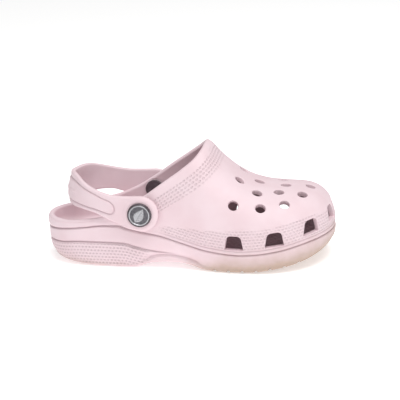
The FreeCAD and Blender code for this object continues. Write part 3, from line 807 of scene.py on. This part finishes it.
# painted shade in the seam round the panel, through the groove mark
seam = np.zeros((len(s) + 2, strap_rings.shape[1]))
seam[1:-1, :len(turn)] = 0.8 * panel_seam
strap_grid = np.concatenate([ends[0], strap_rings, ends[1]])
strap = outward(closed_rings("heel_strap_band", strap_grid, {"groove": seam}))
eye_bore = [(30, 0), (30, bore_r), (60, bore_r), (60, 0)]
cut(strap, [lathe("eye_bore_%d" % (side + 1), eye_bore, rivet_at, (0, side, 0)) for side in (-1, 1)])
strap.data.materials.append(foam("strap_foam", 0.015))
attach(strap, "strap")
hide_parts("heel_strap")

# --- rivets ---------------------------------------------------------------------
# Two snap rivets hold the strap: a dark moulded head with its stem, a bright silver
# disc pressed into the head, and a dark cap snapped on the stem inside the shoe.
head_y, head_r, head_deep, head_round = 44.8, 10.9, 2.9, 0.9
face_y = head_y + head_deep
disc_r, disc_y, disc_seat = 9.4, 46.5, 1.2
cap_r, cap_y, cap_deep, cap_round = 8.4, 29.8, 2.4, 0.8
head_round_over = [(face_y - head_round * (1 - np.sin(t)), head_r - head_round * (1 - np.cos(t)))
                   for t in np.linspace(0, np.pi / 2, 6)]
head_profile = ([(cap_y + 1.0, 0), (cap_y + 1.0, stem_r - 0.4), (cap_y + 1.4, stem_r), (head_y, stem_r),
                 (head_y, head_r - 0.3), (head_y + 0.3, head_r)] + head_round_over
                + [(face_y, disc_r + 0.25), (face_y - 0.25, disc_r), (face_y - disc_seat, disc_r),
                   (face_y - disc_seat, 0)])
cap_round_over = [(cap_y + cap_round * (1 - np.sin(t)), cap_r - cap_round * (1 - np.cos(t)))
                  for t in np.linspace(0.2, np.pi / 2, 6)]
cap_profile = ([(cap_y + 1.0, 0), (cap_y + 1.0, stem_r), (cap_y + cap_deep, stem_r),
                (cap_y + cap_deep, cap_r), (cap_y + cap_round, cap_r)] + cap_round_over
               + [(cap_y + 0.25, 5.2), (cap_y, 4.6), (cap_y, 0)])


def dark_plastic(name):
    """Dark moulded plastic with a fine grain, a little paler where it is worn."""
    mat, shader, wire = new_material(name)
    place = wire.node("ShaderNodeTexCoord", out="Object")
    grain = wire.node("ShaderNodeTexNoise", None, {"Vector": place, "Scale": 1600.0, "Detail": 3.0}, "Fac")
    wear = wire.node("ShaderNodeTexNoise", None, {"Vector": place, "Scale": 240.0, "Detail": 5.0}, "Fac")
    bump = wire.node("ShaderNodeBump", None, {"Strength": 0.6, "Distance": 0.00005, "Height": grain + wear})
    tone = wear.step(0.35, 0.75).mix(linear(72, 62, 67), linear(92, 82, 88))
    connect(shader, {"Base Color": tone, "Roughness": 0.34 + wear * 0.2, "Normal": bump}, {"IOR": 1.5})
    return mat


def silver(name):
    """Bright metallised plastic: dark in the hollows, worn bright on the relief."""
    mat, shader, wire = new_material(name)
    place = wire.node("ShaderNodeTexCoord", out="Object")
    wear = wire.node("ShaderNodeTexNoise", None, {"Vector": place, "Scale": 420.0, "Detail": 5.0}, "Fac")
    hollow = wire.node("ShaderNodeAttribute", {"attribute_name": "hollow"}, out="Fac")
    bump = wire.node("ShaderNodeBump", None, {"Strength": 0.5, "Distance": 0.00004, "Height": wear})
    tone = (hollow * (0.6 + wear * 0.6)).mix(linear(176, 176, 180), linear(84, 82, 87))
    connect(shader, {"Base Color": tone, "Roughness": 0.2 + wear * 0.16 + hollow * 0.15, "Normal": bump},
            {"Metallic": 0.9})
    return mat


def disc_face(name, side):
    """Silver disc as rings from the middle of its face to the middle of its back. The
    face has a raised border and one leaf: it is where |v| < 4.4 (1 - (u/7.3)^2) along
    its own axis u, domed, with grooves for its ribs."""
    count = 160
    leaf_half, leaf_long, leaf_high, leaf_turn = 4.4, 7.3, 0.42, np.radians(58)
    face_low, border_high = 47.45, 0.5
    t = np.arange(count) * 2 * np.pi / count
    radii = np.concatenate([np.linspace(0, 8.0, 60), [8.1, 8.25, 8.4, 8.6, 8.8, 9.0]])
    a, b = radii[:, None] * np.cos(t), radii[:, None] * np.sin(t)
    u, v = a * np.cos(leaf_turn) + b * np.sin(leaf_turn), -a * np.sin(leaf_turn) + b * np.cos(leaf_turn)
    half_leaf = leaf_half * (1 - (u / leaf_long) ** 2) * (1 - 0.05 * u)
    dome = np.sqrt(np.clip(1 - (v / np.maximum(half_leaf, 0.05)) ** 2, 0, 1)) * (half_leaf > 0.05)
    side_ribs = bell(((u - 0.9 * np.abs(v)) % 2.1) - 1.05, 0.28)
    ribs = bell(v, 0.3) + 0.7 * side_ribs
    leaf = dome * (1 - 0.6 * np.clip(ribs, 0, 1))
    rim = soft_step(radii, 8.0, 8.4)[:, None]
    face = face_low + leaf_high * leaf * (1 - rim) + border_high * rim
    rows = [np.column_stack([rivet_x + a[k], foot_axis + side * face[k], rivet_z + b[k]])
            for k in range(len(radii))]
    for travel, radius in ((47.9, 9.25), (47.7, disc_r), (disc_y, disc_r), (disc_y, 0.0)):
        rows.append(np.column_stack([rivet_x + radius * np.cos(t), np.full(count, foot_axis + side * travel),
                                     rivet_z + radius * np.sin(t)]))
    hollow = np.vstack([np.clip(1 - leaf * 1.6, 0, 1) * (1 - rim), np.zeros((4, count))])
    return outward(closed_rings(name, np.array(rows), {"hollow": hollow}))


for side_name, side in (("outer", -1), ("inner", 1)):
    head = outward(lathe(side_name + "_head", head_profile, rivet_at, (0, side, 0), 96))
    disc = disc_face(side_name + "_disc", side)
    cap = outward(lathe(side_name + "_cap", cap_profile, rivet_at, (0, side, 0), 72))
    for piece, node, finish, skin in ((head, "_rivet_head", "rivet_dark", dark_plastic),
                                      (disc, "_rivet_disc", "rivet_silver", silver),
                                      (cap, "_rivet_cap", "rivet_dark", dark_plastic)):
        piece.data.set_sharp_from_angle(angle=np.radians(45))
        piece.data.materials.append(skin(piece.name + "_finish"))
        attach(piece, side_name + "_rivet")
        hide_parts(side_name + node)

# --- floor, light and camera ----------------------------------------------------
# A white floor that glows a little, under one large soft lamp overhead, a weak one in
# front and a white room. The camera looks down on the outer side from a little ahead.
floor_half, floor_z = 3000.0, -0.3
floor_corners = [(i * floor_half, j * floor_half, floor_z) for i, j in ((-1, -1), (1, -1), (1, 1), (-1, 1))]
floor = write_mesh("floor", floor_corners, [(0, 1, 2, 3)])
floor_white, shader, wire = new_material("floor_white")
connect(shader, {}, {"Base Color": linear(252, 252, 252), "Roughness": 0.9,
                     "Emission Color": (1.0, 1.0, 1.0, 1.0), "Emission Strength": 0.4})
floor.data.materials.append(floor_white)


def soft_light(name, place, size, power, tint):
    """Square area lamp that faces the middle of the shoe."""
    lamp = bpy.data.lights.new(name, "AREA")
    lamp.size, lamp.energy, lamp.color = size, power, tint
    obj = bpy.data.objects.new(name, lamp)
    aim = Vector((0, 0, 0.05)) - Vector(place)
    obj.matrix_world = Matrix.Translation(place) @ aim.to_track_quat("-Z", "Y").to_matrix().to_4x4()
    bpy.context.scene.collection.objects.link(obj)


soft_light("overhead", (0.25, -0.35, 1.3), 0.9, 12.6, (1.0, 0.99, 0.98))
soft_light("front", (0.5, -1.2, 0.6), 0.7, 1.2, (1.0, 1.0, 1.0))
world = bpy.data.worlds.new("white_room")
world.use_nodes = True
world.node_tree.nodes["Background"].inputs["Color"].default_value = (1, 1, 1, 1)
world.node_tree.nodes["Background"].inputs["Strength"].default_value = 0.45
bpy.context.scene.world = world
bpy.context.scene.view_settings.view_transform = "Standard"

view_azimuth, view_elevation, view_roll = np.radians((9.5, 17.8, -2.4))
view_far, view_at = 1.4, np.array([0.003, 0.0, 0.055])
away = np.array([np.sin(view_azimuth) * np.cos(view_elevation),
                 -np.cos(view_azimuth) * np.cos(view_elevation), np.sin(view_elevation)])
level = np.array([np.cos(view_azimuth), np.sin(view_azimuth), 0])
upright = np.cross(away, level)
right = level * np.cos(view_roll) + upright * np.sin(view_roll)
up = upright * np.cos(view_roll) - level * np.sin(view_roll)
lens = bpy.data.cameras.new("main_view")
lens.sensor_width, lens.lens = 36.0, 138.6
lens.shift_x, lens.shift_y = 0.01625, -0.00625
camera = bpy.data.objects.new("main_view", lens)
camera.matrix_world = Matrix([[right[k], up[k], away[k], view_at[k] + away[k] * view_far] for k in range(3)]
                             + [[0, 0, 0, 1]])
bpy.context.scene.collection.objects.link(camera)
bpy.context.scene.camera = camera
